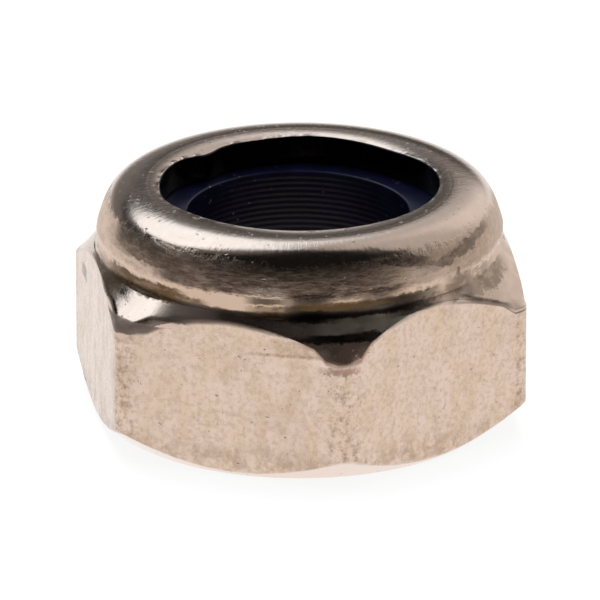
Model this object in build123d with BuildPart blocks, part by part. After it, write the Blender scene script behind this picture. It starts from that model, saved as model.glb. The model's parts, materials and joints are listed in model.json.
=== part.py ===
from build123d import *
from math import radians, sqrt, tan
import os

# Prevailing-torque hexagon nut with a captive plastic ring.
#
# The nut stands on its bearing face. The origin is the centre of that face and +Z runs up
# the thread axis to the collar. The hexagon has flats on +Y and -Y and corners on +X and -X.
#
# Two pieces: the metal body, cold formed with a thin collar whose rim is rolled inwards, and
# the ring that the rolled rim traps on a ledge above the thread. All sizes are millimetres.

# ---- thread -------------------------------------------------------------------------------
thread_diameter = 6.0            # nominal size of the bolt
thread_pitch = 1.0
countersink_oversize = 0.6       # mouth of the lead-in, wider than the bolt across
countersink_angle = 45.0         # slope of the lead-in, from the bearing face

# ---- hexagon ------------------------------------------------------------------------------
across_flats = 10.0
corner_radius = 0.45             # rounding down each of the six corners
bearing_inset = 0.22             # bearing face's rim, inside the flats
lower_chamfer_angle = 40.0       # slopes of the two cones that cut the corners,
upper_chamfer_angle = 46.5       # both from the horizontal
corner_break_angle = 62.0        # steeper cone where the forging left the upper corners unfilled,
corner_break_drop = 0.59         # and how far below the collar's foot it starts

# ---- collar, from its foot to its rolled lip ----------------------------------------------
height = 5.7
collar_wall = 0.77
collar_band_height = 0.41        # upright band between the upper cone and the crown
foot_radius = 0.25               # hollow curve where the cone runs into the band
crown_height = 1.08              # the rolled rim, in height
crown_width = 1.23               # the same roll, in plan
crown_lean = 13.4                # inward lean of its side where it leaves the band, from upright
crown_side_hold = 0.84           # height over which its side keeps that lean
crown_top_hold = 0.84            # width over which its top stays nearly level
lip_droop = 0.03                 # fall of the lip from the crown's top to its free edge
lip_thickness = 0.70
lip_clearance = 0.24             # free edge of the lip, clear of the bolt all round
lip_reach = 0.86                 # width of the lip over the ring
lip_edge_chamfer = 0.10

# ---- captive ring -------------------------------------------------------------------------
ring_thickness = 2.07
ring_bite = 0.35                 # depth to which the bolt's thread cuts into the ring
ring_shoulder_radius = 0.45      # outer edge, pressed round by the rolled lip
ring_edge_chamfer = 0.08         # inner edges
ring_clearance = 0.01            # between the ring and its pocket, off its seat

# ---- worked out ---------------------------------------------------------------------------
thread_triangle_height = sqrt(3) / 2 * thread_pitch        # sharp 60 degree profile
thread_depth = 5 / 8 * thread_triangle_height
bolt_radius = thread_diameter / 2
minor_radius = bolt_radius - thread_depth
countersink_radius = bolt_radius + countersink_oversize / 2
countersink_depth = (countersink_radius - minor_radius) * tan(radians(countersink_angle))

apothem = across_flats / 2
bearing_radius = apothem - bearing_inset
lip_radius = bolt_radius + lip_clearance
pocket_radius = lip_radius + lip_reach
collar_radius = pocket_radius + collar_wall
crown_foot = height - crown_height
collar_foot = crown_foot - collar_band_height
crown_top_radius = collar_radius - crown_width
crown_side_radius = collar_radius - crown_side_hold * tan(radians(crown_lean))
lip_edge_height = height - lip_droop
pocket_top = lip_edge_height - lip_thickness
seat_height = pocket_top - ring_thickness - ring_clearance

upper_cone_slope = tan(radians(upper_chamfer_angle))
corner_break_top = collar_foot - corner_break_drop
corner_break_radius = collar_radius + corner_break_drop / upper_cone_slope

# The cones are drawn out past the corners: the lower one to the nut's top, the upper to its foot.
lower_cone_rim = bearing_radius + height / tan(radians(lower_chamfer_angle))
upper_cone_rim = corner_break_radius + corner_break_top / tan(radians(corner_break_angle))

# ---- nut body -----------------------------------------------------------------------------
with BuildPart() as nut_body:
    # The blank: a hexagonal bar up to the collar's foot, and a round one above it.
    with BuildSketch():
        RegularPolygon(apothem, 6, major_radius=False)
        fillet(vertices(), corner_radius)
    extrude(amount=collar_foot)
    with BuildSketch(Plane.XY.offset(collar_foot)):
        Circle(collar_radius + foot_radius)
    extrude(amount=height - collar_foot)

    # The outer form from below: the bearing face and the cone that takes off the lower corners.
    with BuildSketch(Plane.XZ):
        with BuildLine():
            Polyline((0, 0), (bearing_radius, 0), (lower_cone_rim, height), (0, height), close=True)
        make_face()
    revolve(axis=Axis.Z, mode=Mode.INTERSECT)

    # The outer form from above: the two cones that take off the upper corners, the collar's
    # band, its crown and its lip.
    with BuildSketch(Plane.XZ):
        with BuildLine():
            Polyline(
                (0, lip_edge_height),
                (0, 0),
                (upper_cone_rim, 0),
                (corner_break_radius, corner_break_top),
            )
            FilletPolyline(
                (corner_break_radius, corner_break_top),
                (collar_radius, collar_foot),
                (collar_radius, crown_foot),
                radius=foot_radius,
            )
            crown = Bezier(
                (collar_radius, crown_foot),
                (crown_side_radius, crown_foot + crown_side_hold),
                (crown_top_radius + crown_top_hold, height),
                (crown_top_radius, height),
            )
            lip = TangentArc(crown @ 1, (lip_radius, lip_edge_height), tangent=(-1, 0))
            Line(lip @ 1, (0, lip_edge_height))
        make_face()
    revolve(axis=Axis.Z, mode=Mode.INTERSECT)

    # The bore: lead-in, thread at its minor diameter, and the ring's pocket under the lip.
    with BuildSketch(Plane.XZ):
        with BuildLine():
            Polyline(
                (0, height),
                (0, 0),
                (countersink_radius, 0),
                (minor_radius, countersink_depth),
                (minor_radius, seat_height),
                (pocket_radius, seat_height),
            )
            FilletPolyline(
                (pocket_radius, seat_height),
                (pocket_radius, pocket_top),
                (lip_radius, pocket_top),
                radius=ring_shoulder_radius + ring_clearance,
            )
            Polyline((lip_radius, pocket_top), (lip_radius, height), (0, height))
        make_face()
    revolve(axis=Axis.Z, mode=Mode.SUBTRACT)

    # The free edge of the lip, broken on its upper side.
    lip_edges = edges().filter_by(GeomType.CIRCLE).filter_by(
        lambda edge: abs(edge.radius - lip_radius) < 1e-6 and edge.center().Z > pocket_top + 1e-6
    )
    chamfer(lip_edges, lip_edge_chamfer)

nut_body.part.label = "nut_body"

# ---- captive ring -------------------------------------------------------------------------
ring_inner_radius = bolt_radius - ring_bite
ring_outer_radius = pocket_radius - ring_clearance
ring_top = seat_height + ring_thickness

with BuildPart() as nylon_insert:
    with BuildSketch(Plane.XZ):
        with BuildLine():
            Polyline(
                (ring_inner_radius, ring_top),
                (ring_inner_radius, seat_height),
                (ring_outer_radius, seat_height),
            )
            FilletPolyline(
                (ring_outer_radius, seat_height),
                (ring_outer_radius, ring_top),
                (ring_inner_radius, ring_top),
                radius=ring_shoulder_radius,
            )
        make_face()
        inner_corners = vertices().group_by(Axis.X)[0]
        chamfer(inner_corners, ring_edge_chamfer)
    revolve(axis=Axis.Z)

nylon_insert.part.label = "nylon_insert"

# ---- files --------------------------------------------------------------------------------
os.makedirs("parts", exist_ok=True)
export_step(nut_body.part, "parts/nut_body.step")
export_step(nylon_insert.part, "parts/nylon_insert.step")

print(f"thread minor radius {minor_radius:.4f}, from z {countersink_depth:.4f} to {seat_height:.4f}")
print(f"flats end at z {collar_foot - (apothem - collar_radius) * upper_cone_slope:.3f}")
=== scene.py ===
"""Finished look of a prevailing-torque hexagon nut with a captive plastic ring.

The metal body and the ring are each one closed mesh, made as a grid of rows that follow the piece's
section and columns that go round its axis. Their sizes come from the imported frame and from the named
values of each class. Sizes are written in millimetres and turned to metres when a mesh is made.
"""

import json
import logging
import math
from dataclasses import dataclass
from enum import Enum
from typing import Any, Sequence, Union

import bpy
import numpy as np
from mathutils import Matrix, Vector

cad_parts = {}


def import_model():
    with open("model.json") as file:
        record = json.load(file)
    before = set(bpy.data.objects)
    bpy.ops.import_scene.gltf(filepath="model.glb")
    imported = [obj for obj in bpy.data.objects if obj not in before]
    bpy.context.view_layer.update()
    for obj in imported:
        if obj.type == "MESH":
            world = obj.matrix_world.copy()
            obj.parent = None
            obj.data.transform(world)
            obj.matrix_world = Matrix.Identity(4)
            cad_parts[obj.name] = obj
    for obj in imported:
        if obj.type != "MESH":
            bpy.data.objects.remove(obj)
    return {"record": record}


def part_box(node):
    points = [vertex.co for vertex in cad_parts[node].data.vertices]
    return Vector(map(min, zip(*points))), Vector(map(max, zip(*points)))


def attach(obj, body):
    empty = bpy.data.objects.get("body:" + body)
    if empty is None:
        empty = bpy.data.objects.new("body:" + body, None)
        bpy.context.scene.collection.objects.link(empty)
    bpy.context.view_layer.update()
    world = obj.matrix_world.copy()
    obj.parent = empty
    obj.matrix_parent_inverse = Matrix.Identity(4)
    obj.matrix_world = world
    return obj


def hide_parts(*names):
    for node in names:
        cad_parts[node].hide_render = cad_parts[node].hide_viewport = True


frame: dict[str, Any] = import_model()

log = logging.getLogger("nut")

MM = 0.001                      # metres in a millimetre
Number = Union[int, float]
Colour = tuple[float, float, float]
CORNER_SHARE = 0.45             # how much of a run its rounded corner may take
RIBBON_RADIUS = 5.0             # millimetres, at which the scale round the axis is true


# ---- shader arithmetic
class Wire:
    """One output socket of a shader tree. Arithmetic on it adds Math nodes."""

    def __init__(self, graph: "Graph", socket: bpy.types.NodeSocket) -> None:
        """Keeps an output socket and the tree that it belongs to."""
        self.graph = graph
        self.socket = socket

    def _math(self, operation: str, first: "Value", second: "Value" = 0.0) -> "Wire":
        """Math node on two operands."""
        return self.graph.node("ShaderNodeMath", {"operation": operation}, {0: first, 1: second})

    def __add__(self, other: "Value") -> "Wire":
        """Sum."""
        return self._math("ADD", self, other)

    __radd__ = __add__

    def __sub__(self, other: "Value") -> "Wire":
        """Difference."""
        return self._math("SUBTRACT", self, other)

    def __rsub__(self, other: "Value") -> "Wire":
        """Difference with the wire on the right."""
        return self._math("SUBTRACT", other, self)

    def __mul__(self, other: "Value") -> "Wire":
        """Product."""
        return self._math("MULTIPLY", self, other)

    __rmul__ = __mul__

    def __truediv__(self, other: "Value") -> "Wire":
        """Quotient."""
        return self._math("DIVIDE", self, other)

    def __rtruediv__(self, other: "Value") -> "Wire":
        """Quotient with the wire underneath."""
        return self._math("DIVIDE", other, self)

    def __pow__(self, other: "Value") -> "Wire":
        """Power."""
        return self._math("POWER", self, other)

    def __rpow__(self, other: "Value") -> "Wire":
        """Power with the wire as the exponent."""
        return self._math("POWER", other, self)

    def least(self, other: "Value") -> "Wire":
        """Smaller of two values."""
        return self._math("MINIMUM", self, other)

    def step(self, low: Number, high: Number) -> "Wire":
        """Smooth rise from 0 at low to 1 at high, or fall where high is under low."""
        return self.graph.node(
            "ShaderNodeMapRange",
            {"interpolation_type": "SMOOTHSTEP"},
            {"Value": self, "From Min": low, "From Max": high},
        )

    def within(self, low: Number, high: Number, soft: Number) -> "Wire":
        """Mask that is 1 between two values and fades out over a margin outside them."""
        return self.step(low - soft, low) * self.step(high + soft, high)


Value = Union[Number, Colour, Wire]


class Graph:
    """A shader node tree that is filled through one method."""

    def __init__(self, tree: bpy.types.NodeTree) -> None:
        """Empties the tree and keeps it."""
        self.tree = tree
        tree.nodes.clear()

    def node(
        self,
        kind: str,
        settings: dict[str, Any] | None = None,
        inputs: dict[Any, Value] | None = None,
        output: int | str = 0,
    ) -> Wire:
        """Adds a node: its settings first, then its sockets.

        Args:
            kind: the node's type.
            settings: attributes of the node.
            inputs: values or wires by the socket's index or name.
            output: which output to return.

        Returns:
            The chosen output.
        """
        made = self.tree.nodes.new(kind)
        for name, value in (settings or {}).items():
            setattr(made, name, value)
        for key, value in (inputs or {}).items():
            self.feed(made.inputs[key], value)
        return Wire(self, made.outputs[output] if len(made.outputs) else None)

    def feed(self, socket: bpy.types.NodeSocket, value: Value) -> None:
        """Links a wire to a socket, or sets the socket's own value."""
        if isinstance(value, Wire):
            self.tree.links.new(value.socket, socket)
        elif isinstance(value, tuple) and socket.type == "RGBA":
            socket.default_value = (*value, 1.0)
        else:
            socket.default_value = value

    def blend(self, factor: Value, first: Value, second: Value) -> Wire:
        """Mix of two colours: first where factor is 0."""
        return self.node(
            "ShaderNodeMix",
            {"data_type": "RGBA", "clamp_factor": True},
            {0: factor, 6: first, 7: second},
            output=2,
        )

    def vector(
        self, operation: str, first: Value, second: Value = (0.0, 0.0, 0.0), output: int | str = 0
    ) -> Wire:
        """Vector Math node on two vectors."""
        return self.node(
            "ShaderNodeVectorMath", {"operation": operation}, {0: first, 1: second}, output
        )

    def scaled(self, vector: Value, factor: Value) -> Wire:
        """A vector times a number."""
        return self.node("ShaderNodeVectorMath", {"operation": "SCALE"}, {0: vector, "Scale": factor})

    def split(self, place: Wire, axis: int) -> Wire:
        """One coordinate of a vector: 0, 1 or 2."""
        return self.node("ShaderNodeSeparateXYZ", None, {0: place}, axis)

    def joined(self, x: Value, y: Value, z: Value) -> Wire:
        """Vector from three numbers."""
        return self.node("ShaderNodeCombineXYZ", None, {0: x, 1: y, 2: z})

    def noise(
        self, place: Wire, scale: Number, detail: Number = 2.0, rough: Number = 0.5, output: int = 0
    ) -> Wire:
        """Noise around 0.5, by features for each millimetre, finer octaves and their weight."""
        return self.node(
            "ShaderNodeTexNoise",
            {"noise_dimensions": "3D"},
            {"Vector": place, "Scale": scale, "Detail": detail, "Roughness": rough},
            output,
        )

    def spots(self, place: Wire, scale: Number) -> Wire:
        """Distance to the nearest of scattered points, in cells."""
        return self.node("ShaderNodeTexVoronoi", {"feature": "F1"}, {"Vector": place, "Scale": scale})

    def zone(self, zone: "Zone") -> Wire:
        """Number that the mesh holds at each vertex: 1 in the zone."""
        settings = {"attribute_type": "GEOMETRY", "attribute_name": zone.value}
        return self.node("ShaderNodeAttribute", settings, output=2)

    def bump(self, height: Wire, distance: Number, strength: Number) -> Wire:
        """Normal from a relief of 0 to 1, whose full height is a distance in metres."""
        return self.node(
            "ShaderNodeBump", None, {"Height": height, "Distance": distance, "Strength": strength}
        )

    def ray(self, kind: str) -> Wire:
        """Number that is 1 on rays of one kind, such as Camera or Glossy."""
        return self.node("ShaderNodeLightPath", output=f"Is {kind} Ray")

    def surface(self, shader: Wire, kind: str = "ShaderNodeOutputMaterial") -> None:
        """Ends the tree in its output node."""
        self.node(kind, None, {"Surface": shader})


def new_material(name: str) -> tuple[bpy.types.Material, Graph]:
    """An empty material and the graph of its nodes."""
    made = bpy.data.materials.new(name)
    made.use_nodes = True
    return made, Graph(made.node_tree)


def placed(name: str, data: Any) -> bpy.types.Object:
    """An object that is put in the scene."""
    made = bpy.data.objects.new(name, data)
    bpy.context.scene.collection.objects.link(made)
    return made


# ---- section and grid
class Zone(Enum):
    """Kinds of surface on the nut, each a vertex attribute that is 1 there."""

    BEARING = "bearing"
    CHAMFER = "chamfer"
    FLAT = "flat"
    CONE = "cone"
    COLLAR = "collar"
    LIP = "lip"
    BORE = "bore"
    RING = "ring"


class Section:
    """Rows of a closed section, each with a radius and a height for every column, in millimetres."""

    def __init__(self, columns: int) -> None:
        """Starts an empty section."""
        self.columns = columns
        self.rows: list[np.ndarray] = []
        self.zones: list[Zone] = []

    def point(self, radius: Any, height: Any) -> np.ndarray:
        """One row's worth of points, with single numbers repeated for every column."""
        full = np.ones(self.columns)
        return np.stack([radius * full, height * full], axis=-1)

    def add(self, points: Sequence[np.ndarray], zone: Zone) -> None:
        """Appends rows."""
        self.rows.extend(points)
        self.zones.extend([zone] * len(points))

    def curve(self, pulls: Sequence[np.ndarray], rows: int, zone: Zone) -> None:
        """Appends a Bezier curve, or a straight run, without its last row.

        Args:
            pulls: its first point, the points that pull it if it bends, and its last point.
            rows: how many rows.
            zone: kind of surface.
        """
        top = len(pulls) - 1
        for t in np.arange(rows) / rows:
            shares = [math.comb(top, k) * t**k * (1 - t) ** (top - k) for k in range(top + 1)]
            self.add([sum(share * pull for share, pull in zip(shares, pulls))], zone)

    def path(
        self, tips: Sequence[np.ndarray], eases: Sequence[float | np.ndarray],
        runs: Sequence[int], bends: Sequence[int], zones: Sequence[Zone],
    ) -> None:
        """Appends straight runs joined by rounded corners, without the last row.

        Args:
            tips: the sharp corners, with both ends of the path.
            eases: how far each inner corner is rounded back.
            runs: rows in each run.
            bends: rows in each inner corner.
            zones: kind of surface of each run; a corner takes that of the run after it.
        """
        start = tips[0]
        for index in range(1, len(tips) - 1):
            before, tip, after = tips[index - 1 : index + 2]
            ways = [before - tip, after - tip]
            lengths = [np.linalg.norm(way, axis=-1, keepdims=True) for way in ways]
            cut = np.minimum(eases[index - 1], CORNER_SHARE * np.minimum(*lengths))
            first, last = (tip + way / length * cut for way, length in zip(ways, lengths))
            self.curve([start, first], runs[index - 1], zones[index - 1])
            self.curve([first, tip, last], bends[index - 1], zones[index])
            start = last
        self.curve([start, tips[-1]], runs[-1], zones[-1])

    def where(self, zone: Zone) -> np.ndarray:
        """1 on the rows of a zone and 0 on the others, as one column of numbers."""
        return np.array([1.0 if z is zone else 0.0 for z in self.zones])[:, None]

    def grid(self) -> np.ndarray:
        """All rows as one array of radius and height."""
        return np.stack(self.rows)

    def normals(self) -> np.ndarray:
        """Outward direction in the plane of the section at every point."""
        points = self.grid()
        along = np.roll(points, -1, axis=0) - np.roll(points, 1, axis=0)
        normal = np.stack([along[..., 1], -along[..., 0]], axis=-1)
        return normal / np.maximum(np.linalg.norm(normal, axis=-1, keepdims=True), 1e-9)


def ripple(rng: np.random.Generator, angle: np.ndarray, low: int, high: int) -> np.ndarray:
    """Smooth random wave round the axis.

    Args:
        rng: seeded source of the phases.
        angle: angles at which it is wanted, in radians.
        low: fewest waves in a turn.
        high: most waves in a turn.

    Returns:
        Values that are mostly between -1 and 1.
    """
    counts = np.arange(low, high + 1)
    phases = rng.uniform(0.0, 2.0 * math.pi, len(counts))
    weights = rng.uniform(0.5, 1.0, len(counts))
    waves = np.cos(np.multiply.outer(angle, counts) + phases) * weights
    return waves.sum(axis=-1) / math.sqrt((weights**2).sum())


def solid_of_revolution(
    name: str, angles: np.ndarray, section: Section, relief: np.ndarray
) -> bpy.types.Object:
    """Makes one closed mesh from a section and a relief.

    Args:
        name: the piece's name.
        angles: each column's angle round the axis, in radians.
        section: the closed section.
        relief: how far each point is moved outwards, in millimetres.

    Returns:
        The object, with one attribute for each zone.
    """
    plane = section.grid() + section.normals() * relief[..., None]
    radius, height = plane[..., 0], plane[..., 1]
    points = np.stack([radius * np.cos(angles), radius * np.sin(angles), height], axis=-1) * MM
    rows, columns = radius.shape
    corner = np.arange(rows * columns).reshape(rows, columns)
    beside = np.roll(corner, -1, axis=1)
    above = [np.roll(beside, -1, axis=0), np.roll(corner, -1, axis=0)]
    quads = np.stack([corner, beside, *above], axis=-1).reshape(-1, 4)
    mesh = bpy.data.meshes.new(name)
    mesh.from_pydata(points.reshape(-1, 3).tolist(), [], quads.tolist())
    mesh.polygons.foreach_set("use_smooth", np.ones(len(quads), dtype=bool))
    for zone in sorted(set(section.zones), key=lambda z: z.value):
        values = np.repeat(section.where(zone).astype(np.float32), columns)
        mesh.attributes.new(zone.value, "FLOAT", "POINT").data.foreach_set("value", values)
    mesh.validate()
    log.info("%s: %d vertices, %d triangles", name, rows * columns, 2 * len(quads))
    return placed(name, mesh)


def slope(angle: float) -> float:
    """Rise for each unit of run, at an angle in degrees."""
    return math.tan(math.radians(angle))


# ---- finishes
@dataclass(frozen=True)
class Place:
    """Where a point of a surface is, and how far from the axis, in millimetres."""

    point: Wire
    x: Wire
    y: Wire
    z: Wire
    radius: Wire

    @classmethod
    def of(cls, g: Graph) -> "Place":
        """Adds the nodes that find the place."""
        point = g.scaled(g.node("ShaderNodeTexCoord", output="Object"), 1.0 / MM)
        x, y, z = (g.split(point, axis) for axis in range(3))
        return cls(point, x, y, z, (x * x + y * y) ** 0.5)

    def facing(self, heading: Number, spread: Number, soft: Number) -> Wire:
        """Mask that is 1 within an angle of a heading. All three are degrees."""
        turn = math.radians(heading)
        near = (self.x * math.cos(turn) + self.y * math.sin(turn)) / self.radius
        edge = math.cos(math.radians(spread + soft))
        return near.step(edge, math.cos(math.radians(max(spread - soft, 0))))


@dataclass(frozen=True)
class Patch:
    """A patch of the steel's colour, by heading in degrees and height in millimetres: tarnish and
    scuffs, and in places painted shadow and painted reflection.
    """

    heading: Number
    spread: Number
    low: Number
    high: Number
    colour: Colour
    share: Number
    roughness: Number = 0.32
    ragged: Number = 0.20
    slant: Number = 0.0
    metal: Number = 1.0
    patchy: Number = 0.35
    soft_ends: Number = 4.0
    soft_edges: Number = 0.05

    def mask(self, place: Place, waver: Wire, blot: Wire) -> Wire:
        """How much of the patch is at a place.

        Args:
            place: the place.
            waver: a noise around 0.5 that makes the edges uneven.
            blot: a mask of the spots where the patch is whole.

        Returns:
            The mask.
        """
        turn = math.radians(self.heading)
        aside = (place.y * math.cos(turn) - place.x * math.sin(turn)) * self.slant
        level = place.z - aside + (waver - 0.5) * (2 * self.ragged)
        band = level.within(self.low, self.high, self.soft_edges)
        whole = blot * self.patchy + (1 - self.patchy)
        return place.facing(self.heading, self.spread, self.soft_ends) * band * whole * self.share


# ---- colours of the steel, of what has marked it, and of painted shade, shadow and reflection
STEEL: Colour = (0.605, 0.470, 0.388)
PALE: Colour = (0.69, 0.56, 0.475)
MILLED: Colour = (0.785, 0.610, 0.505)
# Painted reflection: the flats on one side are lightened to this, as if they mirrored the white floor at
# a grazing angle.
PAINTED_REFLECTION: Colour = (0.88, 0.74, 0.65)
HONEY: Colour = (0.69, 0.525, 0.375)
TURNED: Colour = (0.83, 0.66, 0.57)
SCALE: Colour = (0.42, 0.295, 0.235)
WARM: Colour = (0.62, 0.455, 0.34)
# Painted shade: near-black for the lip's inner wall and the ring pocket, which lie in shadow.
SHADE: Colour = (0.02, 0.017, 0.018)
# Painted shadow: dark bronze for the crease at the foot of the collar's band.
FOOT_SHADOW: Colour = (0.135, 0.080, 0.036)
AMBER: Colour = (0.26, 0.185, 0.125)
UMBER: Colour = (0.070, 0.048, 0.036)
SOOT: Colour = (0.030, 0.023, 0.020)
GREY: Colour = (0.40, 0.35, 0.29)
SLATE: Colour = (0.14, 0.100, 0.085)
SMOKE: Colour = (0.40, 0.275, 0.195)
OCHRE: Colour = (0.66, 0.48, 0.32)
SAND: Colour = (0.74, 0.57, 0.46)
RUST: Colour = (0.34, 0.20, 0.145)
BLUSH: Colour = (0.88, 0.74, 0.66)


@dataclass(frozen=True)
class Noise:
    """Unevenness of a surface, by its features for each millimetre across and up."""

    across: Number
    up: Number
    detail: Number
    rough: Number
    around: bool = False

    def on(self, g: Graph, place: Place) -> Wire:
        """Value around 0.5 at a place, taken straight through the metal or round its axis."""
        reach = RIBBON_RADIUS * self.across / place.radius if self.around else self.across
        spot = g.joined(place.x * reach, place.y * reach, place.z * self.up)
        return g.noise(spot, 1.0, self.detail, self.rough)


@dataclass(frozen=True)
class Coat:
    """A colour laid unevenly, where a noise is above low and wholly where it is above high."""

    noise: Noise
    low: Number
    high: Number
    colour: Colour
    share: Number

    def over(self, g: Graph, place: Place, tone: Value, where: Value = 1.0) -> Wire:
        """A colour with the coat over it, in the zone that a mask marks."""
        mask = self.noise.on(g, place).step(self.low, self.high)
        return g.blend(mask * where * self.share, tone, self.colour)


DRAWN: Noise = Noise(4.0, 0.5, 3.0, 0.60)
PITTED: Noise = Noise(6.5, 6.5, 3.0, 0.70)


@dataclass(frozen=True)
class SteelFinish:
    """Semi-bright cold-formed stainless steel, polished on the crown and scuffed below it, with painted
    shade, painted shadow and painted reflection in places.
    """

    drawn: Coat = Coat(DRAWN, 0.42, 0.72, PALE, 0.30)
    clouds: Coat = Coat(Noise(2.2, 0.8, 4.0, 0.66), 0.42, 0.62, HONEY, 0.60)
    tooling: Coat = Coat(Noise(8.5, 8.5, 3.0, 0.66), 0.40, 0.70, SMOKE, 0.40)
    mottling: Coat = Coat(Noise(1.1, 1.1, 3.0, 0.60), 0.48, 0.75, SMOKE, 0.22)
    # Partly dirt, partly painted shade: brown mottling towards the foot of the flats, where they mirror
    # the shaded floor by the nut.
    foot_dirt_and_shade: Coat = Coat(Noise(2.4, 2.4, 4.0, 0.70), 0.42, 0.62, SMOKE, 0.55)
    corner_wear: Coat = Coat(PITTED, 0.46, 0.62, SMOKE, 0.55)
    corner_pits: Coat = Coat(PITTED, 0.57, 0.70, UMBER, 0.26)
    scorching: Coat = Coat(Noise(0.9, 2.6, 4.0, 0.62, True), 0.50, 0.62, RUST, 0.45)
    dragging: Coat = Coat(Noise(3.2, 12.0, 3.0, 0.68, True), 0.42, 0.58, UMBER, 0.50)
    grain: Noise = Noise(9.0, 9.0, 3.0, 0.65)
    nicks: Noise = Noise(7.0, 7.0, 3.0, 0.70)
    smear: Noise = Noise(1.1, 5.0, 6.0, 0.68, True)
    jags: Noise = Noise(4.2, 3.2, 4.0, 0.75, True)
    blots: Noise = Noise(2.4, 4.5, 5.0, 0.70, True)
    scores: Noise = Noise(11.0, 0.8, 3.0, 0.65, True)
    jag_share: float = 0.9
    speck_scale: float = 4.6
    speck_group_scale: float = 2.3
    speck_share: float = 0.26
    top_edge_darkening_share: float = 0.75
    foot_fade_heights: tuple[float, float] = (1.15, 0.45)
    corner_reach: tuple[float, float] = (5.50, 5.62)
    # Heading, spread and soft edge of the flats that carry the painted reflection.
    reflection_side: tuple[float, float, float] = (-150.0, 26.0, 6.0)
    tinted_side: tuple[float, float, float] = (-79.0, 29.0, 9.0)
    polished: float = 0.15
    scuffed: float = 0.42
    milled_extra: float = 0.12
    cone_less: float = 0.03
    worn_height: float = 0.70
    warm_share: float = 0.85
    nick_share: float = 0.30
    tint_least: float = 0.30
    tint_more: float = 0.55
    grain_height: float = 0.35
    worn_grain_height: float = 0.8
    drawn_height: float = 0.4
    speck_depth: float = 0.8
    score_height: float = 0.35
    smear_height: float = 2.2
    relief_depth: float = 0.012
    relief_strength: float = 0.6
    # Tarnish and scuffs on the bare metal, and patches of painted shadow and painted reflection; each
    # painted one is marked below.
    stains_and_painted_light: tuple[Patch, ...] = (
        Patch(-60, 22, 2.9, 3.66, RUST, 0.75, 0.35, 0.20, metal=0.91),
        Patch(-54, 19, 3.84, 4.14, GREY, 0.85, 0.50, 0.12, metal=0.94),
        Patch(-75, 8, 3.80, 4.16, UMBER, 0.75, 0.50, 0.12, metal=0.94),
        Patch(-59.7, 8, 3.70, 3.80, SOOT, 0.95, 0.40, 0.05, patchy=0.1),
        Patch(-95, 15, 3.80, 4.22, UMBER, 0.88, 0.42, 0.08, metal=0.96, patchy=0.1),
        Patch(-119, 13, 3.35, 3.60, SLATE, 0.92, 0.50, 0.06, metal=0.62, patchy=0.1),
        Patch(-22, 14, 3.55, 4.20, RUST, 0.22, 0.40, 0.40),
        Patch(0, 20, 3.30, 4.50, SAND, 0.80, 0.62, 0.25, metal=0.90),
        # Painted shadow: dark strips along the crease at the collar's foot.
        Patch(-120, 13, 4.14, 4.46, FOOT_SHADOW, 0.97, 0.40, 0.10, patchy=0.2),
        Patch(-134, 3.5, 3.85, 4.46, FOOT_SHADOW, 0.90, 0.40, 0.20),
        Patch(-144, 7, 4.10, 4.42, AMBER, 0.70, 0.40, 0.15),
        # Painted shadow: a dark strip along the crease at the collar's foot.
        Patch(-104, 4, 4.14, 4.36, FOOT_SHADOW, 0.90, 0.40, 0.12),
        # Painted reflection: a lighter, less metallic patch on the collar's band, as if it mirrored the
        # white floor.
        Patch(-80, 4, 4.64, 4.84, SAND, 0.75, 0.35, 0.10, metal=0.92),
        Patch(-80, 3.5, 4.47, 4.58, UMBER, 0.85, 0.40, 0.08, patchy=0.1),
        # Painted shadow: a dark strip along the crease at the collar's foot.
        Patch(-78.5, 5, 4.12, 4.38, FOOT_SHADOW, 0.90, 0.40, 0.10),
        Patch(-57, 9, 4.47, 4.70, AMBER, 0.40, 0.40, 0.10),
        Patch(-68, 4.5, 4.10, 4.70, UMBER, 0.94, 0.40, 0.12, patchy=0.1),
        # Painted shadow: a dark line and strip along the crease at the collar's foot.
        Patch(-54, 18.5, 4.16, 4.42, SOOT, 0.93, 0.40, 0.09, patchy=0.05),
        Patch(-54, 17, 4.34, 4.48, FOOT_SHADOW, 0.92, 0.40, 0.12, patchy=0.2),
        Patch(-47, 5, 4.44, 4.72, UMBER, 0.70, 0.40, 0.12),
        Patch(-20, 3.5, 4.02, 4.58, UMBER, 0.70, 0.35, 0.25),
        Patch(-20, 17, 4.22, 4.50, AMBER, 0.60, 0.35, 0.40, patchy=0.8),
        # Painted reflection: dark bands on the polished crown under its highlight, where it mirrors the
        # dark surroundings.
        Patch(-16, 16, 4.99, 5.16, UMBER, 0.60, 0.40, 0.16, 0.12),
        Patch(-123, 15, 4.84, 5.36, UMBER, 0.64, 0.36, 0.10, -0.14),
        # Painted reflection: lighter, less metallic patches on the collar's left side, as if it mirrored
        # the white floor.
        Patch(-128, 13, 4.48, 4.80, SAND, 0.80, 0.50, 0.14, metal=0.70, patchy=0.55),
        Patch(-152, 12, 4.35, 5.30, SAND, 0.78, 0.50, 0.16, metal=0.65, patchy=0.50),
        Patch(-101, 5, 3.85, 4.24, SLATE, 0.88, 0.42, 0.06, metal=0.74, patchy=0.1),
        # Painted reflection: a dark band on the crown under its highlight, mirroring the dark
        # surroundings.
        Patch(-39.5, 8, 5.13, 5.40, SOOT, 0.75, 0.35, 0.08, -0.28),
        Patch(-37, 7, 4.05, 4.46, SOOT, 0.80, 0.40, 0.08, patchy=0.2),
        Patch(-12.5, 6, 3.66, 3.78, UMBER, 0.85, 0.45, 0.05, -0.43, patchy=0.2),
        Patch(-4, 9, 3.95, 4.22, AMBER, 0.75, 0.45, 0.28, patchy=0.4),
        # Painted reflection: a lighter, less metallic streak on the collar, as if it mirrored the white
        # floor.
        Patch(-31, 7, 4.55, 4.95, SAND, 0.55, 0.45, 0.15, -0.20, metal=0.85),
    )
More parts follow.
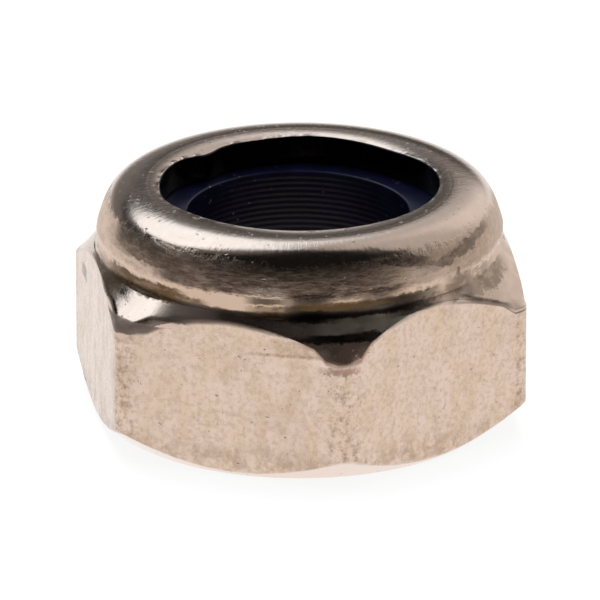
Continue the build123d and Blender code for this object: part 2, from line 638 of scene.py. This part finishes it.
    marks: tuple[Patch, ...] = (
        Patch(-79, 8, 3.34, 3.64, OCHRE, 0.45, ragged=0.16, patchy=0.5),
        Patch(-75, 9, 3.285, 3.315, SMOKE, 0.75, ragged=0.02, slant=0.06, patchy=0.5),
        Patch(-61, 3, 3.13, 3.30, BLUSH, 0.90, ragged=0.12, patchy=0.3),
        Patch(-61, 2, 2.97, 3.13, RUST, 0.85, ragged=0.14, patchy=0.4),
        Patch(-71, 5, 3.32, 3.66, SMOKE, 0.50, ragged=0.10, patchy=0.6),
        Patch(-121, 5, 3.10, 3.55, SMOKE, 0.50, ragged=0.12, patchy=0.6),
        Patch(-168, 0.8, 0.33, 0.46, SOOT, 0.95, ragged=0.04, patchy=0.0),
        Patch(-166, 0.9, 3.08, 3.38, UMBER, 0.70, ragged=0.08, patchy=0.3),
    )

    def specks(self, g: Graph, place: Place) -> Wire:
        """Mask of small pits that stand in loose groups."""
        drift = g.vector("SUBTRACT", g.noise(place.point, 5.0, output=1), (0.5, 0.5, 0.5))
        nudged = g.vector("ADD", place.point, g.scaled(drift, 0.25))
        grouped = g.noise(place.point, self.speck_group_scale).step(0.42, 0.60)
        return g.spots(nudged, self.speck_scale).step(0.20, 0.06) * grouped

    def hexagon_tone(self, g: Graph, place: Place, flat: Wire, nick: Wire, specks: Wire) -> Wire:
        """Colour of the bare metal and, on it, of the milled flats and the turned chamfer, with a
        painted reflection on the flats at one side, painted shade in the ring pocket, and dirt mixed
        with painted shade towards the flats' foot.

        Args:
            g: the material's graph.
            place: the place.
            flat: mask of the flats.
            nick: mask of small nicks.
            specks: mask of small pits.

        Returns:
            The colour.
        """
        # Painted reflection: flats on this side are lighter, as a grazing mirror of the white floor.
        milled_and_reflected = g.blend(place.facing(*self.reflection_side), MILLED, PAINTED_REFLECTION)
        milled_and_reflected = self.tooling.over(g, place, self.clouds.over(g, place, milled_and_reflected))
        tone = g.blend(flat, self.drawn.over(g, place, STEEL), milled_and_reflected)
        tone = g.blend(g.zone(Zone.CHAMFER), tone, TURNED)
        tone = self.mottling.over(g, place, tone, flat)
        # Brown mottling towards the bottom of the flats: partly dirt, partly painted reflection of the
        # shaded floor near the nut.
        tone = self.foot_dirt_and_shade.over(g, place, tone, place.z.step(*self.foot_fade_heights) * flat)
        corner = place.radius.step(*self.corner_reach) * flat
        tone = self.corner_wear.over(g, place, tone, corner)
        tone = self.corner_pits.over(g, place, tone, corner)
        edge = PITTED.on(g, place)
        for mark in self.marks:
            tone = g.blend(mark.mask(place, edge, nick) * flat, tone, mark.colour)
        tone = g.blend(specks * self.speck_share, tone, SOOT)
        # A darker line along the flats' upper edge, on the side at heading 0.
        top_edge_darkening = flat * (1 - flat) * 4.0 * place.z.step(2.5, 2.8) * place.facing(0, 22, 8)
        tone = g.blend(top_edge_darkening * self.top_edge_darkening_share, tone, UMBER)
        # Painted shade: the lip's inner wall and the ring pocket are coloured near-black.
        return g.blend(g.zone(Zone.RING), tone, SHADE)

    def worn_band(self, place: Place, waver: Wire, foot: float) -> Wire:
        """Mask of the scuffed band, from the crown's foot up, with uneven edges."""
        top = foot + self.worn_height
        under_top = (place.z + (waver - 0.5) * 0.5).step(top + 0.12, top - 0.12)
        return under_top * (place.z + (waver - 0.5) * 0.3).step(foot - 0.05, foot + 0.07)

    def material(self, nut: "NutBody") -> bpy.types.Material:
        """Builds the material.

        Args:
            nut: the body, for the heights of its zones.

        Returns:
            The material.
        """
        made, g = new_material("stainless_steel_finish")
        place = Place.of(g)
        z = place.z
        flat, collar, cone = (g.zone(zone) for zone in (Zone.FLAT, Zone.COLLAR, Zone.CONE))
        grain = self.grain.on(g, place)
        smear = self.smear.on(g, place)
        waver = smear + (self.jags.on(g, place) - 0.5) * self.jag_share
        nick = self.nicks.on(g, place).step(0.44, 0.56)
        blot = self.blots.on(g, place).step(0.41, 0.54)
        specks = self.specks(g, place)

        tone = self.hexagon_tone(g, place, flat, nick, specks)
        worn_top = nut.crown_foot + self.worn_height
        worn = collar * self.worn_band(place, waver, nut.crown_foot)
        below = collar * z.step(worn_top + 0.25, worn_top - 0.15)
        tone = g.blend(below * self.warm_share, tone, WARM)
        tone = g.blend(worn * nick * self.nick_share, tone, SMOKE)
        tinted = worn * place.facing(*self.tinted_side)
        tint = self.tint_least + smear.step(0.40, 0.60) * self.tint_more
        tone = g.blend(tinted * tint, tone, SCALE)
        tone = self.scorching.over(g, place, tone, tinted)
        tone = self.dragging.over(g, place, tone, tinted)

        rough = self.polished + (grain - 0.5) * 0.06
        rough = rough + flat * self.milled_extra - cone * self.cone_less
        rough = rough + worn * (self.scuffed - self.polished)
        metal: Value = 1.0
        bare = 1 - flat
        for patch in self.stains_and_painted_light:
            mask = patch.mask(place, waver, blot) * bare
            tone = g.blend(mask, tone, patch.colour)
            rough = rough + (patch.roughness - rough) * mask
            metal = metal + (patch.metal - metal) * mask

        crown = collar * z.step(worn_top, worn_top + 0.3)
        relief = grain * (self.grain_height + worn * self.worn_grain_height)
        relief = relief + DRAWN.on(g, place) * flat * self.drawn_height - specks * self.speck_depth
        relief = relief + self.scores.on(g, place) * crown * self.score_height
        relief = relief + smear * worn * self.smear_height
        bump = g.bump(relief, self.relief_depth * MM, self.relief_strength)
        look = {"Base Color": tone, "Metallic": metal, "Roughness": rough, "Normal": bump}
        g.surface(g.node("ShaderNodeBsdfPrincipled", None, look))
        return made


@dataclass(frozen=True)
class NylonFinish:
    """Satin dark blue nylon."""

    navy: Colour = (0.0015, 0.0018, 0.008)
    haze: Colour = (0.0035, 0.004, 0.020)
    dust: Colour = (0.25, 0.26, 0.30)
    roughness: float = 0.34
    index: float = 1.35
    relief_depth: float = 0.008

    def material(self) -> bpy.types.Material:
        """Builds the material."""
        made, g = new_material("nylon_finish")
        place = g.scaled(g.node("ShaderNodeTexCoord", output="Object"), 1.0 / MM)
        cloud = g.noise(place, scale=1.4, detail=3.0, rough=0.6)
        grain = g.noise(place, scale=14.0, detail=2.0, rough=0.6)
        dust = g.spots(place, scale=5.0).step(0.14, 0.05) * g.noise(place, scale=1.9).step(0.52, 0.60)
        tone = g.blend(cloud.step(0.35, 0.75) * 0.5, self.navy, self.haze)
        tone = g.blend(dust * 0.5, tone, self.dust)
        rough = self.roughness + (cloud - 0.5) * 0.12
        bump = g.bump(grain, self.relief_depth * MM, 0.5)
        look = {"Base Color": tone, "Roughness": rough, "IOR": self.index, "Normal": bump}
        g.surface(g.node("ShaderNodeBsdfPrincipled", None, look))
        return made


# ---- pieces
@dataclass(frozen=True)
class Departure:
    """A size that departs from its even value over a stretch of the turn. Angles are degrees."""

    heading: float
    spread: float
    amount: float

    def at(self, angles: np.ndarray) -> np.ndarray:
        """The departure at each angle, in millimetres."""
        away = np.angle(np.exp(1j * (angles - math.radians(self.heading))))
        return self.amount * np.exp(-((away / math.radians(self.spread)) ** 2))


def total(departures: Sequence[Departure], angles: np.ndarray) -> np.ndarray:
    """Sum of departures at each angle."""
    return sum(departure.at(angles) for departure in departures)


@dataclass
class NutBody:
    """The metal body: hexagon, collar, rolled lip, ring pocket and thread. Sizes are millimetres."""

    height: float
    across_flats: float
    minor_radius: float
    corner_radius: float = 0.45
    bearing_inset: float = 0.22
    lower_slope: float = 40.0
    upper_slope: float = 46.5
    break_slope: float = 62.0
    break_drop: float = 0.59
    corner_breaks: tuple[float, ...] = (0.8, 0.8, 1.2, 1.0, 0.0, 2.1)
    corner_floor: float = 3.27
    low_spots: tuple[Departure, ...] = (
        Departure(-82, 20, 0.09), Departure(-34, 14, -0.07),
        Departure(0, 28, 0.09), Departure(170, 40, 0.08),
    )
    worn_edges: tuple[Departure, ...] = (Departure(-60, 5, 0.03), Departure(-118, 14, 0.17))
    corner_lifts: tuple[Departure, ...] = (Departure(-122, 13, 0.14),)
    lip_dents: tuple[Departure, ...] = (
        Departure(157, 9, -0.20), Departure(-141, 14, 0.10),
        Departure(62, 14, -0.07), Departure(104, 22, 0.17),
    )
    lip_burrs: tuple[Departure, ...] = (Departure(165, 8, 0.035), Departure(140, 26, 0.010))
    collar_radius: float = 4.87
    collar_foot: float = 4.21
    crown_foot: float = 4.62
    crown_width: float = 1.23
    crown_lean: float = 13.4
    crown_side_hold: float = 0.84
    crown_top_hold: float = 0.84
    foot_ease: float = 0.10
    foot_reach: float = 0.35
    lip_radius: float = 3.17
    lip_oval: float = 0.17
    lip_oval_heading: float = 19.0
    lip_hollow: float = 3.4
    lip_edge: float = 0.16
    pocket_radius: float = 4.10
    pocket_top: float = 4.97
    pocket_ease: float = 0.46
    seat: float = 2.89
    mouth_radius: float = 3.3
    pitch: float = 1.0
    edge: float = 0.06
    upper_edge: float = 0.045
    upper_edge_wave: float = 0.2
    pocket_mouth_ease: float = 0.05
    seat_ease: float = 0.04
    cone_least: float = 0.04
    cone_foot_least: float = 0.05
    worn_reach: float = 2.3
    collar_wave: float = 0.025
    collar_tilts: tuple[float, float] = (0.008, 0.006)
    rim_width: float = 0.06
    rim_waves: tuple[float, float] = (0.008, 0.004)
    corner_columns: int = 15
    flat_columns: int = 39
    crown_rows: int = 52
    lip_rows: int = 9
    thread_rows: int = 89
    seed: int = 7

    def outline(self) -> tuple[np.ndarray, np.ndarray]:
        """Points round the hexagon, closer together on its rounded corners.

        Returns:
            The angle and the distance from the axis of every column.
        """
        apothem = self.across_flats / 2
        turn = math.pi / 6
        centre = (apothem - self.corner_radius) / math.cos(turn)
        arcs = []
        for heading in np.arange(6) * 2 * turn:
            hub = centre * np.array([math.cos(heading), math.sin(heading)])
            sweep = heading + np.linspace(-turn, turn, self.corner_columns)
            arcs.append(hub + self.corner_radius * np.stack([np.cos(sweep), np.sin(sweep)], axis=-1))
        even = np.linspace(0, 1, self.flat_columns + 2)[1:-1]
        eased = (1 - np.cos(math.pi * even)) / 2
        share = ((eased + even) / 2)[:, None]
        points = []
        for arc, following in zip(arcs, arcs[1:] + arcs[:1]):
            points.extend(arc)
            points.extend(arc[-1] + (following[0] - arc[-1]) * share)
        ring = np.array(points)
        return np.arctan2(ring[:, 1], ring[:, 0]), np.hypot(ring[:, 0], ring[:, 1])

    def thread_radius(self, angles: np.ndarray, level: float) -> np.ndarray:
        """Distance of the threaded bore from the axis at one height.

        Args:
            angles: columns' angles.
            level: height.

        Returns:
            The radius at every column.
        """
        depth = 5 / 8 * math.sqrt(3) / 2 * self.pitch
        crest = 0.375
        flank = 0.3125
        soft = 0.004
        turn = np.mod(level / self.pitch - angles / (2 * math.pi), 1.0)
        rise = (crest - np.abs(turn - 0.5)) / flank
        share = 0.5 * (np.sqrt(rise**2 + soft) - np.sqrt((rise - 1) ** 2 + soft) + 1)
        mouth = self.mouth_radius - level
        return np.maximum(self.minor_radius + depth * np.clip(share, 0, 1), mouth)

    def break_radius(self) -> float:
        """Radius at which the steeper cone of the corners starts."""
        return self.collar_radius + self.break_drop / slope(self.upper_slope)

    def cone_level(self, angles: np.ndarray, radius: np.ndarray) -> np.ndarray:
        """Height of the upper cone at a radius.

        Args:
            angles: columns' angles.
            radius: distance from the axis at every column.

        Returns:
            The height at every column.
        """
        out = radius - self.collar_radius
        reached = np.clip(out / (self.across_flats / 2 - self.collar_radius), 0, 1)
        corner_out = self.across_flats / math.sqrt(3) - self.collar_radius
        steep = slope(self.upper_slope) - total(self.corner_lifts, angles) / corner_out
        return self.collar_foot - out * steep - total(self.low_spots, angles) * reached

    def break_level(self, angles: np.ndarray, reach: np.ndarray) -> np.ndarray:
        """Height at which the hexagon's side ends, under the cone and the broken corners.

        Args:
            angles: columns' angles.
            reach: the hexagon's distance from the axis at every column.

        Returns:
            The height at every column.
        """
        corner = np.round(angles / (math.pi / 3)).astype(int) % 6
        amount = np.array(self.corner_breaks)[corner]
        steeper = slope(self.break_slope) - slope(self.upper_slope)
        past = np.maximum(reach - self.break_radius(), 0)
        level = self.cone_level(angles, reach) - amount * past * steeper
        return np.maximum(level, self.corner_floor)

    def upper_bend(self, rng: np.random.Generator, angles: np.ndarray) -> np.ndarray:
        """How far the flats' upper edge is rounded back, as one column of numbers."""
        worn = self.upper_edge + total(self.worn_edges, angles)
        return (worn * (1 + self.upper_edge_wave * ripple(rng, angles, 20, 90)))[:, None]

    def opening(self, angles: np.ndarray) -> np.ndarray:
        """Radius of the rolled lip's opening, which is a little oval and dented."""
        oval = np.cos(2 * (angles - math.radians(self.lip_oval_heading)))
        return self.lip_radius + self.lip_oval * oval + total(self.lip_dents, angles)

    def section(self, angles: np.ndarray, reach: np.ndarray) -> Section:
        """Rows from the bearing face, up the outside, over the lip and down the bore.

        Args:
            angles: columns' angles.
            reach: the hexagon's distance from the axis at every column.

        Returns:
            The closed section.
        """
        made = Section(len(angles))
        at = made.point
        rng = np.random.default_rng(self.seed)
        bearing = self.across_flats / 2 - self.bearing_inset
        low = (reach - bearing) * slope(self.lower_slope)
        worn = total(self.worn_edges, angles)
        middle = np.minimum(self.break_radius(), reach - self.cone_least - self.worn_reach * worn)
        middle = np.maximum(middle, self.collar_radius + self.cone_foot_least)
        band_foot = self.collar_foot + self.collar_wave * ripple(rng, angles, 3, 14)
        band_top = self.crown_foot
        tips = [
            at(self.mouth_radius, 0),
            at(bearing, 0),
            at(reach, low),
            at(reach, self.break_level(angles, reach)),
            at(middle, self.cone_level(angles, middle)),
            at(self.collar_radius, band_foot),
            at(self.collar_radius, band_top),
        ]
        made.path(
            tips,
            [self.edge, self.edge, self.upper_bend(rng, angles), self.edge, self.foot_ease],
            [5, 7, 36, 4, 12, 7],
            [4, 6, 6, 4, 8],
            [Zone.BEARING, Zone.CHAMFER, Zone.FLAT, Zone.CONE, Zone.CONE, Zone.COLLAR],
        )
        top = self.collar_radius - self.crown_width
        lean = self.crown_side_hold * slope(self.crown_lean)
        pulls = [
            at(self.collar_radius, band_top),
            at(self.collar_radius - lean, band_top + self.crown_side_hold),
            at(top + self.crown_top_hold, self.height),
            at(top, self.height),
        ]
        made.curve(pulls, self.crown_rows, Zone.COLLAR)
        opening = self.opening(angles)
        fall = [
            at(top - s, self.height - self.lip_hollow + np.sqrt(self.lip_hollow**2 - s**2))
            for s in np.multiply.outer(np.linspace(0, 1, self.lip_rows), top - opening)
        ]
        made.add(fall[:-2], Zone.LIP)
        made.path(
            [
                fall[-2],
                fall[-1],
                at(opening, self.pocket_top),
                at(self.pocket_radius, self.pocket_top),
                at(self.pocket_radius, self.seat),
                at(self.thread_radius(angles, self.seat), self.seat),
            ],
            [self.lip_edge, self.pocket_mouth_ease, self.pocket_ease, self.seat_ease],
            [2, 8, 4, 6, 5],
            [8, 4, 8, 3],
            [Zone.LIP, Zone.RING, Zone.RING, Zone.RING, Zone.RING],
        )
        levels = np.linspace(self.seat, 0, self.thread_rows)[:-1]
        made.add([at(self.thread_radius(angles, level), level) for level in levels], Zone.BORE)
        return made

    def relief(self, angles: np.ndarray, section: Section) -> np.ndarray:
        """Small departures of the formed metal from its true section.

        Args:
            angles: columns' angles.
            section: the body's section.

        Returns:
            Outward movement of every point, in millimetres.
        """
        rng = np.random.default_rng(self.seed + 1)
        grid = section.grid()
        level = grid[..., 1]
        half = (self.crown_foot - self.collar_foot) / 2
        along = np.clip((level - self.collar_foot - half) / half, -1, 1)
        broad, fine = self.collar_tilts
        tilt = broad * ripple(rng, angles, 3, 12) + fine * ripple(rng, angles, 12, 50)
        fade = np.clip((self.crown_foot + self.foot_reach - level) / self.foot_reach, 0, 1)
        from_rim = (grid[..., 0] - self.opening(angles)) / self.rim_width
        rim = np.exp(-(from_rim**2)) * section.where(Zone.LIP)
        broad, fine = self.rim_waves
        ragged = (broad + total(self.lip_burrs, angles)) * ripple(rng, angles, 12, 60)
        ragged = ragged + fine * ripple(rng, angles, 60, 150)
        return section.where(Zone.COLLAR) * along * tilt * fade + rim * ragged

    def build(self, finish: SteelFinish) -> None:
        """Makes the body.

        Args:
            finish: the steel.
        """
        angles, reach = self.outline()
        section = self.section(angles, reach)
        piece = solid_of_revolution("steel_body", angles, section, self.relief(angles, section))
        piece.data.materials.append(finish.material(self))
        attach(piece, "root")
        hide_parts("nut_body")


@dataclass
class NylonInsert:
    """The captive ring. Sizes are millimetres."""

    top: float
    seat: float
    outer_radius: float
    inner_radius: float = 2.65
    shoulder: float = 0.45
    lower_edge: float = 0.05
    hole_edge: float = 0.07
    off_centre: float = 0.05
    turning_step: float = 0.14
    turning_depth: float = 0.007
    columns: int = 256

    def section(self, angles: np.ndarray) -> Section:
        """Rows from the seat, up the outside, over the top and down the hole.

        Args:
            angles: columns' angles.

        Returns:
            The closed section.
        """
        made = Section(len(angles))
        at = made.point
        hole = self.inner_radius - self.off_centre * np.cos(angles)
        made.path(
            [
                at(hole, self.seat),
                at(self.outer_radius, self.seat),
                at(self.outer_radius, self.top),
                at(hole, self.top),
                at(hole, self.seat),
            ],
            [self.lower_edge, self.shoulder, self.hole_edge],
            [5, 5, 14, 110],
            [4, 9, 6],
            [Zone.RING, Zone.RING, Zone.RING, Zone.BORE],
        )
        return made

    def relief(self, section: Section) -> np.ndarray:
        """Turning rings down the hole."""
        level = section.grid()[..., 1]
        wave = np.abs(np.mod(level / self.turning_step, 1.0) - 0.5) * 2
        return section.where(Zone.BORE) * wave * -self.turning_depth

    def build(self, finish: NylonFinish) -> None:
        """Makes the ring.

        Args:
            finish: the nylon.
        """
        angles = np.arange(self.columns) * 2 * math.pi / self.columns
        section = self.section(angles)
        piece = solid_of_revolution("nylon_ring", angles, section, self.relief(section))
        piece.data.materials.append(finish.material())
        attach(piece, "root")
        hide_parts("nylon_insert")


# ---- studio
COOL: Colour = (0.98, 1.12, 1.24)
PLAIN: Colour = (1.0, 1.0, 1.0)


@dataclass(frozen=True)
class Pane:
    """A bright part of the surroundings, with straight edges between its corners.

    A corner is two angles in degrees. The first runs from the horizon behind the camera, over the
    top, to the one behind the object. The second runs from the left to the right.
    """

    corners: tuple[tuple[float, float], ...]
    soft: float
    glow: float
    tint: Colour = PLAIN

    @staticmethod
    def direction(over: float, side: float) -> Vector:
        """Unit vector of a corner: towards the camera's side, to the right, up."""
        lift, turn = math.radians(over), math.radians(side)
        return Vector((math.cos(turn) * math.cos(lift), math.sin(turn), math.cos(turn) * math.sin(lift)))

    def edges(self) -> list[Vector]:
        """Inward normal of the plane through each edge and the object."""
        points = [self.direction(*corner) for corner in self.corners]
        middle = sum(points, Vector())
        normals = [a.cross(b).normalized() for a, b in zip(points, points[1:] + points[:1])]
        return [normal if normal.dot(middle) > 0 else -normal for normal in normals]


@dataclass
class Studio:
    """Floor, surroundings, lamp and camera. Angles are degrees, sizes metres."""

    panes: tuple[Pane, ...] = (
        Pane(
            ((96, -50), (94, -30), (107, -14), (123, -1), (153, 1), (147, -22), (141, -40), (118, -50)),
            2.5, 1.60, COOL,
        ),
        Pane(((82, -52), (80, -30), (94, -12), (112, -4), (118, -8), (100, -52)), 6, 0.16),
        Pane(((64, 62), (93, 27), (119, 3), (158, 0), (170, 18), (178, 52), (115, 80)), 3, 0.66),
        Pane(((134, 8), (178, 18), (178, 48), (126, 44)), 10, 0.36),
        Pane(((152, -60), (157, -2), (161, -1), (172, 16), (172, -60)), 3, 0.20),
        Pane(((173, -60), (173, 40), (205, 40), (205, -60)), 4, 0.45),
        Pane(((173, -5), (205, -5), (205, 40), (173, 40)), 4, 0.40),
        Pane(((-8, 62), (20, 58), (50, 68), (50, 89), (-8, 89)), 7, 1.10),
        Pane(((-5, -89), (-5, -42), (55, -48), (90, -54), (90, -89)), 8, 0.24),
        Pane(((-12, -89), (-12, -66), (25, -72), (30, -89)), 6, 0.60),
        Pane(((90, -89), (88, -54), (120, -57), (158, -62), (160, -89)), 6, 0.13),
        Pane(((-12, -60), (-12, 60), (26, 60), (26, -60)), 10, 0.11),
    )
    dark: float = 0.011

    azimuth: float = 19.2
    elevation: float = 21.7
    distance: float = 0.302
    field: float = 0.01442
    aim_height: float = 0.00267
    floor_radius: float = 1.2
    floor_colour: Colour = (0.9, 0.9, 0.9)
    floor_white: float = 0.88
    shadow_reach: tuple[float, float] = (0.02, 0.06)
    mirrored_reach: tuple[float, float] = (0.045, 0.10)
    mirrored_loss: float = 0.92
    mirrored_edge: float = 0.03
    lamp_place: tuple[float, float, float] = (-0.03, 0.05, 0.15)
    lamp_size: float = 0.12
    lamp_power: float = 0.35
    sensor: float = 36.0

    def toward_camera(self) -> Vector:
        """Unit vector from the object to the camera."""
        turn, lift = math.radians(self.azimuth), math.radians(self.elevation)
        return Vector(
            (math.sin(turn) * math.cos(lift), -math.cos(turn) * math.cos(lift), math.sin(lift))
        )

    def camera(self) -> None:
        """Makes the camera."""
        data = bpy.data.cameras.new("camera")
        data.sensor_width = self.sensor
        data.lens = self.sensor * self.distance / self.field
        data.clip_start = 0.001
        data.clip_end = 10.0
        made = placed("camera", data)
        toward = self.toward_camera()
        made.location = Vector((0, 0, self.aim_height)) + toward * self.distance
        made.rotation_euler = toward.to_track_quat("Z", "Y").to_euler()
        bpy.context.scene.camera = made

    def floor(self) -> None:
        """Makes the pale floor, which keeps a soft shadow."""
        mesh = bpy.data.meshes.new("floor")
        reach = self.floor_radius
        corners = [(-reach, -reach, 0), (reach, -reach, 0), (reach, reach, 0), (-reach, reach, 0)]
        mesh.from_pydata(corners, [], [(0, 1, 2, 3)])
        made = placed("floor", mesh)
        material, g = new_material("pale_floor")
        seen, glossy, through = (g.ray(kind) for kind in ("Camera", "Glossy", "Transmission"))
        place = g.node("ShaderNodeTexCoord", output="Object")
        far = g.vector("LENGTH", place, output="Value")
        toward = self.toward_camera()
        ahead = g.vector("DOT_PRODUCT", place, (toward.x, toward.y, 0.0), "Value")
        ahead = ahead.step(-self.mirrored_edge, self.mirrored_edge)
        plain = self.floor_white + far.step(*self.shadow_reach) * (1 - self.floor_white)
        lift = ((seen + through) * plain + glossy).least(1.0)
        matt = g.node("ShaderNodeBsdfDiffuse", None, {"Color": self.floor_colour})
        fade = 1 - glossy * far.step(*self.mirrored_reach) * ahead * self.mirrored_loss
        white = g.node("ShaderNodeEmission", None, {"Color": PLAIN, "Strength": fade})
        g.surface(g.node("ShaderNodeMixShader", None, {0: lift, 1: matt, 2: white}))
        mesh.materials.append(material)

    def surroundings(self) -> None:
        """Lights the scene with a white room, soft boxes above and at the sides, and dark between."""
        world = bpy.data.worlds.new("studio")
        bpy.context.scene.world = world
        world.use_nodes = True
        world.cycles.sampling_method = "NONE"
        g = Graph(world.node_tree)
        heading = g.node("ShaderNodeTexCoord", output="Generated")
        turn = math.radians(self.azimuth)
        front = Vector((math.sin(turn), -math.cos(turn), 0.0))
        right = Vector((math.cos(turn), math.sin(turn), 0.0))
        up = Vector((0.0, 0.0, 1.0))
        light: Value = (self.dark, self.dark, self.dark)
        for pane in self.panes:
            share: Value = pane.glow
            soft = math.sin(math.radians(pane.soft))
            for edge in pane.edges():
                normal = front * edge.x + right * edge.y + up * edge.z
                inside = g.vector("DOT_PRODUCT", heading, tuple(normal), "Value")
                share = inside.step(-soft, soft) * share
            light = g.vector("ADD", light, g.scaled(pane.tint, share))
        colour = g.blend(g.ray("Glossy"), PLAIN, light)
        shader = g.node("ShaderNodeBackground", None, {"Color": colour, "Strength": 1.0})
        g.surface(shader, "ShaderNodeOutputWorld")

    def lamp(self) -> None:
        """Makes the soft lamp, which points at the object."""
        data = bpy.data.lights.new("top_lamp", "AREA")
        data.size = self.lamp_size
        data.energy = self.lamp_power
        made = placed("top_lamp", data)
        made.location = Vector(self.lamp_place)
        made.rotation_euler = made.location.to_track_quat("Z", "Y").to_euler()
        made.visible_glossy = False

    def build(self) -> None:
        """Sets the whole studio."""
        self.camera()
        self.floor()
        self.surroundings()
        self.lamp()
        bpy.context.scene.view_settings.view_transform = "Standard"


def main() -> None:
    """Builds the studio and the two pieces, and reports each."""
    logging.basicConfig(level=logging.INFO, format="%(name)s: %(message)s")
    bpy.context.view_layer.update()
    low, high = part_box("nut_body")
    ring_low, ring_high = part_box("nylon_insert")
    thread = next(mount for mount in frame["record"]["mounts"] if mount["name"] == "thread")
    Studio().build()
    body = NutBody(
        height=high.z / MM,
        across_flats=(high.y - low.y) / MM,
        minor_radius=thread["dims"]["r_mm"],
    )
    body.build(SteelFinish())
    ring = NylonInsert(
        top=ring_high.z / MM, seat=ring_low.z / MM, outer_radius=ring_high.y / MM
    )
    ring.build(NylonFinish())


if __name__ == "__main__":
    main()
